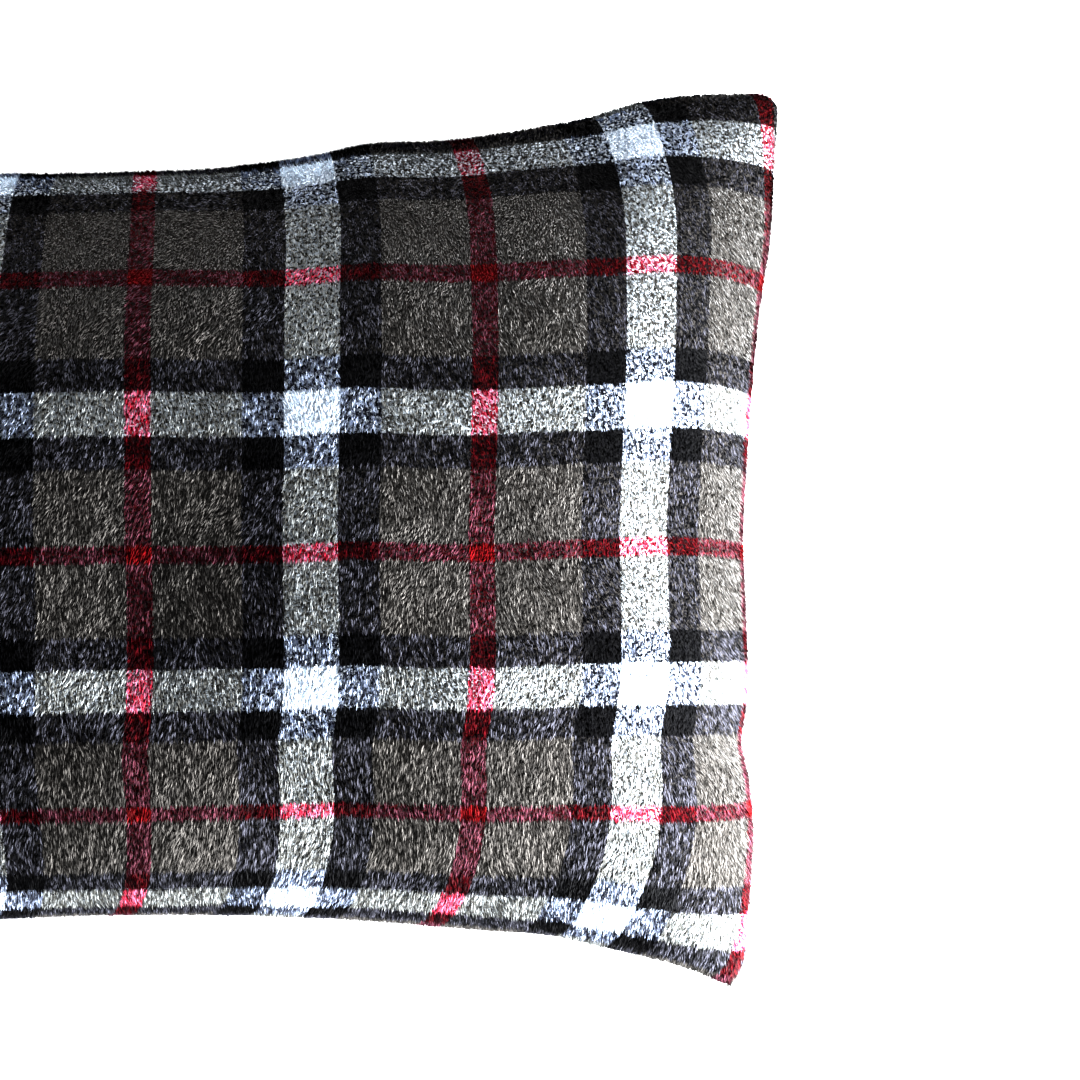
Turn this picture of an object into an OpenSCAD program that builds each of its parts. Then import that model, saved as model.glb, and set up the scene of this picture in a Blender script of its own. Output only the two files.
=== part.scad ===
// Small rectangular travel neck pillow: a plush cover with a zip in one end,
// over a fibre-filled inner pillow. It lies on its back: X runs along the
// pillow, Y across it, Z up through its thickness, and the origin is the
// centre of the footprint on the surface that the pillow lies on.

/* [Pillow] */
// Length over the corners before they are rounded, along X
pillow_l = 388; // [372:1:400]
// Width over the corners before they are rounded, along Y
pillow_w = 298; // [286:1:310]
// Height of the full crown above the seam
crown_h = 63; // [60:1:70]
// Height of the seam above the surface that the pillow lies on
seam_z = 54; // [50:1:56]
// How far the middle of each long side is drawn in
side_dip = 26; // [18:1:28]
// How far the middle of the plain end is drawn in
end_dip = 7; // [3:0.5:10]
// How far the straight zip end is drawn in from its corners
zip_end_dip = 6; // [5:0.5:8]

/* [Cover] */
// Thickness of the plush fabric, pile included
plush_t = 2.6; // [2:0.1:3]
// Width of the seam allowance, measured from the seam
allowance_w = 7.4; // [6:0.1:7.6]
// Length of one stitch
stitch_l = 3.2; // [2.6:0.1:3.4]
// Distance from one stitch to the next
stitch_pitch = 4.2; // [4:0.1:6]

/* [Zip] */
// Length of the row of zip elements
chain_l = 214; // [180:1:220]
// Half the height of the slit that the slider runs in
slit_half = 5.6; // [5:0.1:6]
// Width of each zip tape
tape_w = 10.5; // [9:0.5:10.5]
// Distance from one coil element to the next
coil_pitch = 1.3; // [1.2:0.05:2]
// Length of the pull tab from its hinge
pull_l = 20; // [16:1:20]

/* [Inner pillow] */
// Thickness of the inner casing fabric
casing_t = 1; // [0.8:0.1:1.2]
// Gap between the cover seam and the inner pillow's seam
casing_inset = 8.2; // [8:0.1:10]

/* [Care label] */
// Width of the folded label
label_w = 22; // [16:1:28]
// How far the label stands out of the seam
label_out = 14; // [10:1:15]

/* [Hidden] */

// Outline and crown
corner_x = pillow_l / 2;
corner_y = pillow_w / 2;
corner_power = 60;       // how square the corners are: higher is sharper
side_power = 1.5;        // the long sides draw in from the corners onwards
end_power = 2;           // the plain end is a shallow arc
zip_end_power = 6;       // the zip keeps its end straight
crown_power_x = 2.6;     // how flat the crown is along X
crown_power_y = 3;       // how flat the crown is along Y
edge_power = 0.55;       // how steeply the crown falls to the seam
side_steps = 24;         // facets along one long side
end_steps = 22;          // facets along one end
eps = 0.01;

// Fabric layers
seam_gap = 0.45;         // from the seam plane to each panel's allowance
allowance_t = 1.6;       // plush crushed in the seam
hem_t = 4.2;             // folded plush beside the zip
hem_h = 6;               // height of that fold
layer_gap = 0.6;         // between the cover and the inner pillow
casing_gap = 0.1;        // from the seam plane to each casing panel's rim
fill_gap = 0.5;          // between the casing and the filling
thread_t = 0.35;

// Zip, across the end: every x below is measured at the closed zip
zip_x = -(corner_x - zip_end_dip);
tape_t = 0.6;
tape_x = zip_x + hem_t + 0.3;
tape_inner_z = 0.7;      // from the seam plane to the tape's woven edge
coil_t = 1.65;
wedge_half = 0.25;       // half the thickness of the slider's wedge
coil_tip = 0.6;          // from the seam plane to each element's tip
coil_outer_z = 2.1;
element_w = 0.55;
slider_l = 10;
slider_w = 8.4;
plate_t = 1.2;
wedge_l = 3;
bail_half_l = 3.5;       // from the hinge to each foot of the bail
bail_w = 1.6;
pull_t = 1.2;
pull_w = 5.5;
pin_r = 0.7;
chain_y0 = -chain_l / 2;
hinge_x = zip_x - 0.3;
hinge_y = chain_y0 + slider_l / 2;

// Points round the outline as [u, v], each from -1 to 1 on a rounded square
function rounded(a, b) =
  let (k = pow(1 + pow(abs(a), corner_power), -1 / corner_power)) b > 0 ? [k, a * k] : [-k, -a * k];
function swap(p) = [-p[1], p[0]];
function side_points(steps, sign, turned) = [
  for (i = [0 : steps - 1])
    let (p = rounded(-1 + 2 * i / steps, sign)) turned ? swap(p) : p
];
round_square = concat(
  side_points(end_steps, 1, false), side_points(side_steps, 1, true),
  side_points(end_steps, -1, false), side_points(side_steps, -1, true)
);
ring_n = len(round_square);

// The outline point for [u, v], drawn in by inset
function outline(p, inset) = let (
    dip = p[0] < 0 ? zip_end_dip : end_dip,
    power = p[0] < 0 ? zip_end_power : end_power
  ) [
    (corner_x - inset - dip * (1 - pow(abs(p[1]), power))) * p[0],
    (corner_y - inset - side_dip * (1 - pow(abs(p[0]), side_power))) * p[1]
  ];

// Share of the full crown, 1 in the middle and 0 on the outline, at scale s
function dome(p, s) = let (
    raw = (1 - pow(abs(s * p[0]), crown_power_x)) * (1 - pow(abs(s * p[1]), crown_power_y)),
    rim = (1 - pow(abs(p[0]), crown_power_x)) * (1 - pow(abs(p[1]), crown_power_y))
  ) pow(max(0, (raw - rim) / (1 - rim)), edge_power);

// Whether an outline point is on the straight stretch that the zip takes
function at_zip(p) = p[0] < -0.9 && abs(p[1]) * corner_y < chain_l / 2 + 6;
function rim_gap(p) = at_zip(p) ? slit_half : seam_gap;

// One ring of points: side is 1 above the seam and -1 below, base is the
// height at the rim and crown the height in the middle, both from the seam
function ring(s, inset, side, crown, lift, floor_z) = [
  for (p = round_square)
    let (
      o = s * outline(p, inset),
      base = (is_undef(lift) ? rim_gap(p) : lift),
      z = seam_z + side * (base + (crown - base) * dome(p, s))
    ) [o[0], o[1], side > 0 ? z : max(floor_z, z)]
];
function flat_ring(inset_of, height_of, side) = [
  for (i = [0 : ring_n - 1])
    let (p = round_square[i], o = outline(p, inset_of[i]))
    [o[0], o[1], seam_z + side * height_of[i]]
];
// Ring scales from the middle to the rim, closer together near the rim. Every
// layer uses them, so that the facets of two layers run side by side
ring_scales = [for (i = [1 : 8]) sin(90 * i / 8)];
function back_in(from) = [for (i = [from : -1 : 0]) ring_scales[i]];

// A closed solid from a stack of rings, with a middle point at each end
module stack(rings, first, last, side) {
  n = len(rings);
  points = concat([first], [for (r = rings) each r], [last]);
  end = len(points) - 1;
  faces = concat(
    [for (j = [0 : ring_n - 1]) [0, 1 + (j + 1) % ring_n, 1 + j]],
    [for (i = [0 : n - 2], j = [0 : ring_n - 1])
      let (a = 1 + i * ring_n, b = a + ring_n, k = (j + 1) % ring_n)
      each [[a + j, a + k, b + k], [a + j, b + k, b + j]]],
    [for (j = [0 : ring_n - 1])
      let (a = 1 + (n - 1) * ring_n) [end, a + j, a + (j + 1) % ring_n]]
  );
  polyhedron(points, side > 0 ? faces : [for (f = faces) [f[2], f[1], f[0]]]);
}

// Height of a layer's middle point
function middle(crown, side, floor_z) =
  let (z = seam_z + side * crown) [0, 0, side > 0 ? z : max(floor_z, z)];

// One plush panel: the outer skin, the allowance turned in at the seam, or
// the folded hem beside the zip, and the inner face. The back's outer skin
// runs on below the surface that the pillow lies on, and is cut off there
module cover_panel(side) {
  inset = [for (p = round_square) at_zip(p) ? hem_t : allowance_w];
  low = [for (p = round_square) rim_gap(p)];
  high = [for (p = round_square) rim_gap(p) + (at_zip(p) ? hem_h : allowance_t)];
  inner_crown = crown_h - plush_t;
  rings = concat(
    [for (s = ring_scales) ring(s, 0, side, crown_h, undef, -crown_h)],
    [flat_ring(inset, low, side), flat_ring(inset, high, side)],
    [for (s = back_in(6)) ring(s, plush_t, side, inner_crown, undef, plush_t)]
  );
  stack(rings, middle(crown_h, side, -crown_h), middle(inner_crown, side, plush_t), side);
}

// One panel of the inner pillow's casing
casing_crown = crown_h - plush_t - layer_gap;
casing_floor = plush_t + layer_gap;
module casing_panel(side) {
  inner_inset = casing_inset + casing_t;
  inner_crown = casing_crown - casing_t;
  rings = concat(
    [for (s = ring_scales) ring(s, casing_inset, side, casing_crown, casing_gap, casing_floor)],
    [for (s = back_in(7))
      ring(s, inner_inset, side, inner_crown, casing_gap, casing_floor + casing_t)]
  );
  color("white") stack(rings, middle(casing_crown, side, casing_floor),
    middle(inner_crown, side, casing_floor + casing_t), side);
}

// The filling is one closed cushion
fill_crown = casing_crown - casing_t - fill_gap;
fill_floor = casing_floor + casing_t + fill_gap;
fill_inset = casing_inset + casing_t + fill_gap;
module filling() {
  rings = concat(
    [for (s = ring_scales) ring(s, fill_inset, 1, fill_crown, 0, 0)],
    [for (s = back_in(6)) ring(s, fill_inset, -1, fill_crown, 0, fill_floor)]
  );
  stack(rings, middle(fill_crown, 1, 0), middle(fill_crown, -1, fill_floor), 1);
}

// A stitch: a closed loop of thread along X, h tall in Z, centred on the origin
module stitch(h) {
  rotate([90, 0, 0]) linear_extrude(thread_t, center = true) difference() {
    square([stitch_l, h], center = true);
    square([stitch_l - 2 * thread_t, h - 2 * thread_t], center = true);
  }
}

// Stitches along one side of the outline, from -reach to reach of its length.
// turned is true for the long sides, sign picks the side
module seam(sign, turned, from, to, inset, h) {
  length = turned ? pillow_l : pillow_w;
  count = floor((to - from) / 2 * length / stitch_pitch);
  for (i = [0 : count - 1]) {
    a = from + (to - from) * (i + 0.5) / count;
    step = 0.5 / length;
    p = turned ? swap(rounded(a, sign)) : rounded(a, sign);
    q = turned ? swap(rounded(a + step, sign)) : rounded(a + step, sign);
    here = outline(p, inset);
    ahead = outline(q, inset) - here;
    translate([here[0], here[1], seam_z])
      rotate(atan2(ahead[1], ahead[0])) stitch(h);
  }
}
cover_stitch_h = 2 * (seam_gap + allowance_t + thread_t);
cover_stitch_inset = 3.6;
straight = 0.93;         // share of each side that is sewn before the corner turns

module cover_front() { color("dimgray") cover_panel(1); }
module cover_back() {
  color("dimgray") intersection() {
    cover_panel(-1);
    translate([-pillow_l, -pillow_w, 0]) cube([2 * pillow_l, 2 * pillow_w, seam_z]);
  }
}
module cover_seam_near_side() {
  color("black") seam(-1, true, -straight, straight, cover_stitch_inset, cover_stitch_h);
}
module cover_seam_far_side() {
  color("black") seam(1, true, -straight, straight, cover_stitch_inset, cover_stitch_h);
}
module cover_seam_plain_end() {
  color("black") seam(1, false, -straight, straight, cover_stitch_inset, cover_stitch_h);
}
// Either side of the zip, where the end is sewn shut
sewn_from = (chain_l / 2 + 20) / corner_y;
module cover_seam_zip_end() {
  color("black") for (s = [-1, 1])
    seam(-1, false, min(s * sewn_from, s * straight), max(s * sewn_from, s * straight),
      cover_stitch_inset, cover_stitch_h);
}

// The zip is drawn for the half above the seam, and mirrored for the other
module half(side) {
  translate([0, 0, seam_z]) mirror([0, 0, side > 0 ? 0 : 1]) children();
}
tape_l = chain_l + 1;
module tape(side) {
  color("dimgray") half(side)
    translate([tape_x, -tape_l / 2, tape_inner_z]) cube([tape_t, tape_l, tape_w]);
}
// The coil as a comb: a spine along the tape and one element each pitch.
// The two coils' elements take turns along Y, and their tips leave a slit for
// the slider's wedge
spine_z = 1.2;
element_n = floor(chain_l / coil_pitch) - 1;
module coil(side) {
  shift = side > 0 ? 0 : coil_pitch / 2;
  teeth = [
    for (i = [0 : element_n - 1])
      let (y = chain_y0 + 0.2 + shift + i * coil_pitch)
      each [[y, spine_z], [y, coil_tip], [y + element_w, coil_tip], [y + element_w, spine_z]]
  ];
  spine = [[chain_y0 + chain_l, spine_z], [chain_y0 + chain_l, coil_outer_z],
    [chain_y0, coil_outer_z], [chain_y0, spine_z]];
  color("dimgray") half(side) translate([tape_x, 0, 0])
    rotate([90, 0, -90]) linear_extrude(coil_t)
      polygon([for (p = concat(teeth, spine)) [-p[0], p[1]]]);
}
// Each stitch runs through the hem and the tape
zip_stitch_reach = tape_x + tape_t - zip_x + 2 * thread_t;
module zip_stitches(side) {
  count = floor(chain_l / stitch_pitch);
  color("black") half(side) for (i = [0 : count - 1])
    translate([zip_x + zip_stitch_reach / 2 - thread_t, chain_y0 + (i + 0.5) * chain_l / count,
      slit_half + 3])
      rotate([90, 0, 90]) rotate([90, 0, 0]) linear_extrude(thread_t, center = true) difference() {
        square([stitch_l, zip_stitch_reach], center = true);
        square([stitch_l - 2 * thread_t, zip_stitch_reach - 2 * thread_t], center = true);
      }
}
stop_l = 2.6;
module zip_top_stops() {
  color("gray") for (side = [-1, 1]) half(side)
    translate([tape_x - coil_t, chain_y0 - stop_l - 0.4, tape_inner_z])
      cube([coil_t, stop_l, coil_outer_z - tape_inner_z]);
}
module zip_bottom_stop() {
  color("gray") translate([tape_x - coil_t, -chain_y0 + 0.2, seam_z - coil_outer_z])
    cube([coil_t, stop_l, 2 * coil_outer_z]);
}

// A plate in the YZ plane with round corners, its low X face at x
module plate(x, t, y0, y1, w, r) {
  translate([x, 0, 0]) rotate([90, 0, 90]) linear_extrude(t) {
    translate([y0 + r, -w / 2]) square([y1 - y0 - 2 * r, w]);
    translate([y0, -w / 2 + r]) square([y1 - y0, w - 2 * r]);
    for (y = [y0 + r, y1 - r], z = [r - w / 2, w / 2 - r]) translate([y, z]) circle(r, $fn = 32);
  }
}
slider_face = tape_x - coil_t - 0.3;
module zip_slider() {
  color("silver") translate([0, 0, seam_z]) {
    y0 = chain_y0;
    y1 = chain_y0 + slider_l;
    plate(slider_face - plate_t, plate_t, y0, y1, slider_w, 2);
    plate(tape_x + tape_t + 0.5, plate_t, y0, y1, slider_w, 2);
    // wedge between the two plates, at the nose
    translate([slider_face - eps, y0, -wedge_half])
      cube([tape_x + tape_t + 0.5 - slider_face + 2 * eps, wedge_l, 2 * wedge_half]);
    // rails that hold the coils together
    for (z = [-slider_w / 2, slider_w / 2 - 0.8])
      translate([slider_face - eps, y0 + 2, z]) cube([coil_t - 0.3, slider_l - 4, 0.8]);
    // bail: two feet and a bar over the pull's pin
    bail_x = hinge_x - pin_r - 0.2 - 1;
    translate([bail_x, hinge_y - bail_half_l - 0.6, -bail_w / 2])
      cube([1, 2 * bail_half_l + 1.2, bail_w]);
    for (y = [hinge_y - bail_half_l, hinge_y + bail_half_l])
      translate([bail_x, y - 0.6, -bail_w / 2])
        cube([slider_face - plate_t / 2 - bail_x, 1.2, bail_w]);
  }
}
module zip_pull() {
  slot_l = 5.6;
  color("silver") translate([hinge_x, hinge_y, seam_z]) {
    rotate([90, 0, 90]) linear_extrude(pull_t, center = true) difference() {
      union() {
        translate([-pin_r, -pull_w / 2]) square([pull_l - pull_w / 2 + pin_r, pull_w]);
        translate([pull_l - pull_w / 2, 0]) circle(pull_w / 2, $fn = 48);
      }
      translate([-pin_r - eps, -bail_w / 2 - 0.3]) square([slot_l + pin_r, bail_w + 0.6]);
      translate([pull_l - pull_w / 2, 0]) circle(1.2, $fn = 32);
    }
    cylinder(h = pull_w, r = pin_r, center = true, $fn = 32);
  }
}

module inner_casing_seam() {
  inset = casing_inset + casing_t / 2;
  color("white") {
    for (sign = [-1, 1]) seam(sign, true, -straight, straight, inset, 2);
    for (sign = [-1, 1]) seam(sign, false, -straight, straight, inset, 2);
  }
}
module fibre_fill() { color("whitesmoke") filling(); }

// A strip of satin folded in two, its ends sewn into the near side's seam
label_x = -85;
label_t = 0.25;
label_leaf_gap = 0.25;
module care_label() {
  edge = outline([label_x / corner_x, -1], 0);
  inside = allowance_w - 2;
  color("white") translate([label_x - label_w / 2, edge[1] - label_out, seam_z]) {
    for (side = [-1, 1]) translate([0, 0, side * (label_leaf_gap + label_t) / 2 - label_t / 2])
      cube([label_w, label_out + inside, label_t]);
    translate([0, 0, -label_leaf_gap / 2 - label_t]) cube([label_w, label_t, label_leaf_gap + 2 * label_t]);
  }
}

cover_front();
cover_back();
cover_seam_near_side();
cover_seam_far_side();
cover_seam_plain_end();
cover_seam_zip_end();
tape(1);  // zip_tape_upper
tape(-1);  // zip_tape_lower
coil(1);  // zip_coil_upper
coil(-1);  // zip_coil_lower
zip_stitches(1);  // zip_stitches_upper
zip_stitches(-1);  // zip_stitches_lower
zip_top_stops();
zip_bottom_stop();
zip_slider();
zip_pull();
casing_panel(1);  // inner_casing_front
casing_panel(-1);  // inner_casing_back
inner_casing_seam();
fibre_fill();
care_label();
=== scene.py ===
"""Looks for the travel neck pillow: a tartan plush cover over a filled inner pillow, zipped across one end.

Everything is in metres, in the CAD frame: X along the pillow, Y across it, Z up from what it lies on.
A cover panel is a grid. Its flat coordinates run over the cloth as it was cut, and carry the tartan.
"""

import math

import bmesh
import bpy
import numpy as np
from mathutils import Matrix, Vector


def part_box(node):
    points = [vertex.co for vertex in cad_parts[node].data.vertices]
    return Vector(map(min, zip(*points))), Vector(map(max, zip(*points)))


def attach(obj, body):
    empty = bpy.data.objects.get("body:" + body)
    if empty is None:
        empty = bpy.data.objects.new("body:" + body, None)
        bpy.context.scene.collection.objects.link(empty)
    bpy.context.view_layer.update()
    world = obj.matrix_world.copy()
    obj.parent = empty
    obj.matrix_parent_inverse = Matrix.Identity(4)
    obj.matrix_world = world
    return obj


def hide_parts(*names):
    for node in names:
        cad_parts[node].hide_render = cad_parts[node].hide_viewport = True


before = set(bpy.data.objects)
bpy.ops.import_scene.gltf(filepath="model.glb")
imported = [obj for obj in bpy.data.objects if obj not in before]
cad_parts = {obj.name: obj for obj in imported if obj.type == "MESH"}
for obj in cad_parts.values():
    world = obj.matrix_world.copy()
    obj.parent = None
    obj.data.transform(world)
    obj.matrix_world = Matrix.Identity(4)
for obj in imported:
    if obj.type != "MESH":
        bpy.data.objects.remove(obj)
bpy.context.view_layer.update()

MM = 0.001

# The cloth as cut, and the grid that it is simulated on
FLAT_L, FLAT_W = 408 * MM, 306 * MM
CELLS_X, CELLS_Y = 82, 62
FINE = 2  # the shown skin has this many cells to each simulated one

# Where the CAD model puts the seam, the crown and the zip
SEAM_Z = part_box("cover_front")[0].z - 0.45 * MM
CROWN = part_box("cover_front")[1].z - SEAM_Z
ZIP_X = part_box("zip_tape_upper")[0].x - 3.4 * MM
ZIP_HALF = 107 * MM
SLIT_HALF = 5.6 * MM

# Tartan along X and along Y: the distance between repeats, the width of a red line, the width of a bar,
# and where the first red line lies
STRIPES_X = (101 * MM, 7.6 * MM, 8.1 * MM, -4.5 * MM)
STRIPES_Y = (86.2 * MM, 5.4 * MM, 6.8 * MM, -3.6 * MM)

# A band of the tartan: how far from its middle the white and then the black reach, in bars
WHITE_REACH, BLACK_REACH = 1.0, 2.5

FILL = 1.0  # the filling's volume, as a share of the evenly rounded shape's
PILE = 1.4 * MM  # how deep the pressed pile is under the pillow
UP = np.array([0.0, 0.0, 1.0])


# ---------------------------------------------------------------- cover shape

def bump(t, middle, width):
    return np.exp(-(((t - middle) / width) ** 2))


def long_side(s, far):
    """Points of a long side's seam, for s from -1 at the zip end to 1 at the plain end."""
    lean = 3.4 * MM if far else -3.4 * MM
    flat_x = s * FLAT_L / 2
    drawn = np.clip((np.abs(flat_x) - 140 * MM) / (63 * MM), 0, 1) ** 2
    pull = np.where(s > 0, 8.4 if far else 14.6, 14.4 if far else 7.6) * MM
    x = flat_x + lean - np.sign(s) * drawn * pull
    if far:
        t = np.abs(s)
        zip_half = 27 * MM * t**3 - 12 * MM * t**1.2 * (1 - t)
        y = 124 * MM + np.where(s > 0, 27 * MM * t**1.15, zip_half) + 2.2 * MM * bump(x, 64 * MM, 16 * MM)
        y += 4.6 * MM * bump(x, 158 * MM, 30 * MM) - 1.0 * MM * bump(x, 136 * MM, 10 * MM)
    else:
        y = -(122 * MM + 24.5 * MM * np.abs(s) ** 2.2 - 1.5 * MM * bump(x, 122 * MM, 16 * MM))
        y -= 2.4 * MM * np.clip(s, 0, 1) ** 14
    return x, y


def short_side(s, plain_end):
    """Points of an end's seam, for s from -1 on the near side to 1 on the far side."""
    corner_near = [c[-1 if plain_end else 0] for c in long_side(np.array([-1.0, 1.0]), False)]
    corner_far = [c[-1 if plain_end else 0] for c in long_side(np.array([-1.0, 1.0]), True)]
    share = (s + 1) / 2
    y = corner_near[1] * (1 - share) + corner_far[1] * share
    if plain_end:
        far_x = 187 * MM + 13.2 * MM * np.clip(s, 0, 1) ** 1.35
        near_x = 188.6 * MM + 0 * s
        x = np.where(s > 0, far_x, 187 * MM + (near_x - 187 * MM) * np.clip(-s * 4, 0, 1))
        x += 1.6 * MM * bump(y, 104 * MM, 20 * MM)
        x -= 2.2 * MM * bump(y, -65 * MM, 9 * MM)
        x += 2.0 * MM * bump(y, -98 * MM, 20 * MM)
        x -= 3.6 * MM * np.clip((-s - 0.86) / 0.14, 0, 1) ** 2
    else:
        flare = np.clip((np.abs(y) - ZIP_HALF) / (40 * MM), 0, 1) ** 1.5
        x = ZIP_X + (np.where(s > 0, corner_far[0], corner_near[0]) - ZIP_X) * flare
    return x, y


def respaced(grid, axis, count):
    """The grid with count rows along an axis, equally far apart over the surface."""
    g = np.moveaxis(grid, axis, 0)
    steps = np.linalg.norm(np.diff(g, axis=0), axis=-1)
    length = np.concatenate([np.zeros((1, g.shape[1])), np.cumsum(steps, axis=0)])
    out = np.empty((count, *g.shape[1:]))
    for j in range(g.shape[1]):
        wanted = np.linspace(0, length[-1, j], count)
        for k in range(g.shape[2]):
            out[:, j, k] = np.interp(wanted, length[:, j], g[:, j, k])
    return np.moveaxis(out, 0, axis)


def seam_patch(u, v):
    """A flat patch that fills the seam's outline, as [x, y] for every u and v from -1 to 1."""
    near, far = np.stack(long_side(u, False), -1), np.stack(long_side(u, True), -1)
    zip_end, plain = np.stack(short_side(v, False), -1), np.stack(short_side(v, True), -1)
    zip_end[0], zip_end[-1], plain[0], plain[-1] = near[0], far[0], near[-1], far[-1]
    a = ((u + 1) / 2)[:, None, None]
    b = ((v + 1) / 2)[None, :, None]
    off_corner = (1 - np.abs(u))[:, None] * FLAT_L / 2 + (1 - np.abs(v))[None] * FLAT_W / 2
    rounding = 1 - 0.0145 * np.exp(-off_corner / (3.5 * MM))[..., None]
    across = near[:, None] * (1 - b) + far[:, None] * b
    along = zip_end[None] * (1 - a) + plain[None] * a
    corners = (
        near[0] * (1 - a) * (1 - b) + near[-1] * a * (1 - b) + far[0] * (1 - a) * b + far[-1] * a * b
    )
    return (across + along - corners) * rounding


def filled_dome():
    """The upper half of the filled cover, with its rows as evenly apart as they are on the flat cloth."""
    u = np.sin(np.linspace(-1, 1, 5 * CELLS_X + 1) * math.pi / 2)
    v = np.sin(np.linspace(-1, 1, 5 * CELLS_Y + 1) * math.pi / 2)
    dome = np.dstack([seam_patch(u, v), CROWN * crown_share(u[:, None], v[None])])
    for _ in range(2):
        dome = respaced(dome, 1, 3 * CELLS_Y + 1)
        dome = respaced(dome, 0, 3 * CELLS_X + 1)
    return respaced(respaced(dome, 1, CELLS_Y + 1), 0, CELLS_X + 1)


def crown_share(u, v):
    """Height over the seam as a share of the crown: a flat top that falls steeply to the long sides."""
    return ((1 - np.abs(u) ** 3) * (1 - np.abs(v) ** 2.7)) ** 0.57


def quads(index, flip=False):
    """The faces of a grid of vertex numbers."""
    q = np.stack([index[:-1, :-1], index[1:, :-1], index[1:, 1:], index[:-1, 1:]], -1).reshape(-1, 4)
    return q[:, ::-1] if flip else q


def new_object(name, points, faces, smooth=False):
    """An object from its points and from faces that all have the same number of corners."""
    points, faces = np.asarray(points, np.float32), np.asarray(faces, np.int32)
    count, corners = faces.shape
    mesh = bpy.data.meshes.new(name)
    mesh.vertices.add(len(points))
    mesh.vertices.foreach_set("co", points.ravel())
    mesh.loops.add(faces.size)
    mesh.loops.foreach_set("vertex_index", faces.ravel())
    mesh.polygons.add(count)
    mesh.polygons.foreach_set("loop_start", np.arange(0, faces.size, corners, dtype=np.int32))
    mesh.polygons.foreach_set("loop_total", np.full(count, corners, np.int32))
    mesh.polygons.foreach_set("use_smooth", np.full(count, smooth))
    mesh.update(calc_edges=True)
    obj = bpy.data.objects.new(name, mesh)
    bpy.context.scene.collection.objects.link(obj)
    return obj


def cut_grid(shape):
    x = np.linspace(-FLAT_L / 2, FLAT_L / 2, shape[0])
    y = np.linspace(-FLAT_W / 2, FLAT_W / 2, shape[1])
    out = np.zeros((*shape, 3))
    out[..., 0], out[..., 1] = x[:, None], y[None]
    return out


def refined(grid, factor):
    """The grid with more cells, on smooth curves through the points it has."""
    for axis in (0, 1):
        g = np.moveaxis(grid, axis, 0)
        p = np.concatenate([[2 * g[0] - g[1]], g, [2 * g[-1] - g[-2]]])
        a, b, c, d = p[:-3], p[1:-2], p[2:-1], p[3:]
        rows = []
        for i in range(factor):
            t = i / factor
            square = 2 * a - 5 * b + 4 * c - d
            cube = 3 * b - a - 3 * c + d
            rows.append(0.5 * (2 * b + (c - a) * t + square * t**2 + cube * t**3))
        out = np.stack(rows, 1).reshape(-1, *g.shape[1:])
        grid = np.moveaxis(np.concatenate([out, g[-1:]]), 0, axis)
    return grid


def sample(grid, x, y):
    """Values of a grid at flat coordinates."""
    i = (x / FLAT_L + 0.5) * (grid.shape[0] - 1)
    j = (y / FLAT_W + 0.5) * (grid.shape[1] - 1)
    i0 = np.clip(i.astype(int), 0, grid.shape[0] - 2)
    j0 = np.clip(j.astype(int), 0, grid.shape[1] - 2)
    a, b = (i - i0)[:, None], (j - j0)[:, None]
    return (
        grid[i0, j0] * (1 - a) * (1 - b) + grid[i0 + 1, j0] * a * (1 - b)
        + grid[i0, j0 + 1] * (1 - a) * b + grid[i0 + 1, j0 + 1] * a * b
    )


def soft_noise(x, y, size, seed):
    """Smooth noise, about -1 to 1, over the flat cloth, with lumps about size across."""
    local = np.random.default_rng(seed)
    shape = (round(FLAT_L / size) + 2, round(FLAT_W / size) + 2, 1)
    return sample(refined(local.uniform(-1, 1, shape), 4), x, y)[:, 0]


def lumps(flat):
    """How an uneven filling and gathered seams push the cover in and out, over the flat cloth."""
    x, y = flat[..., 0].ravel(), flat[..., 1].ravel()
    filling = 2.2 * soft_noise(x, y, 62 * MM, 1) + 0.9 * soft_noise(x, y, 30 * MM, 2)
    to_long = FLAT_W / 2 - np.abs(y)
    to_short = FLAT_L / 2 - np.abs(x)
    puckers = 1.5 * soft_noise(x, 0.25 * y, 15 * MM, 7) * np.exp(-((to_long / (30 * MM)) ** 2))
    puckers += 1.2 * soft_noise(0.25 * x, y, 15 * MM, 8) * np.exp(-((to_short / (30 * MM)) ** 2))
    rim = np.clip(np.minimum(to_long, to_short) / (12 * MM), 0, 1)
    return ((filling + puckers) * MM * rim).reshape(flat.shape[:2])


def enclosed(front, back):
    """The volume between the two panels' grids."""
    total = 0.0
    for grid, sign in ((front, 1), (back, -1)):
        a, b, c, d = grid[:-1, :-1], grid[1:, :-1], grid[1:, 1:], grid[:-1, 1:]
        area = 0.5 * np.cross((c - a)[..., :2], (d - b)[..., :2])
        total += sign * (area * (a + b + c + d)[..., 2] / 4).sum()
    return total


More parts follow.
